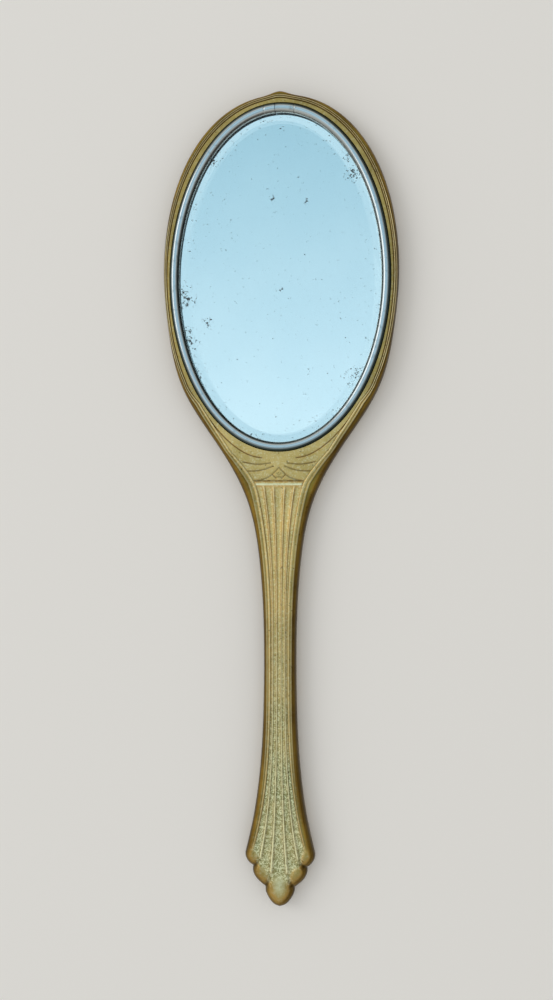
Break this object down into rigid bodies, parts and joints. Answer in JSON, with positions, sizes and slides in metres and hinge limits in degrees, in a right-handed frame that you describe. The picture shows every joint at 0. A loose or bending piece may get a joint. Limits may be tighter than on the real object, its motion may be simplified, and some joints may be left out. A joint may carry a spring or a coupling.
{
  "type": "hand mirror",
  "caption": "Oval hand mirror with a bevelled glass in a bright bead ring, set in a pressed brass body whose fluted flat handle ends in a fan of rounded lobes.",
  "frame": {"origin": "on the flat back that the mirror lies on, under the centre of the oval glass", "axes": "+X across the mirror, +Y from the handle to the crest at the top of the head, +Z out of the glass"},
  "size_m": [0.1006, 0.3451, 0.0096],
  "materials": {
    "brass_front": "pressed and worn brass, lightly lacquered",
    "brass_back": "pressed and worn brass",
    "solder": "tin solder film",
    "nickel_ring": "polished nickel plate on brass",
    "nickel_strap": "nickel-plated strap",
    "plate_glass": "bevelled plate glass",
    "silvering": "silvered, with age spots near the edge",
    "backing_paint": "matt red-brown backing paint",
    "paper_packing": "folded paper strip",
    "backing_card": "grey-brown card",
    "wadding": "cotton wadding",
    "steel_brace": "plain steel plate",
    "core_wood": "turned softwood",
    "steel_rod": "plain steel rod"
  },
  "bodies": {
    "root": {"front_shell": "brass_front", "back_shell": "brass_back", "seam_solder": "solder", "bezel_ring": "nickel_ring", "bezel_splice": "nickel_strap", "mirror_glass": "plate_glass", "silvering": "silvering", "backing_paint": "backing_paint", "edge_packing": "paper_packing", "backing_card": "backing_card", "wadding_pad": "wadding", "neck_brace": "steel_brace", "handle_core": "core_wood", "handle_rod": "steel_rod"}
  },
  "joints": []
}
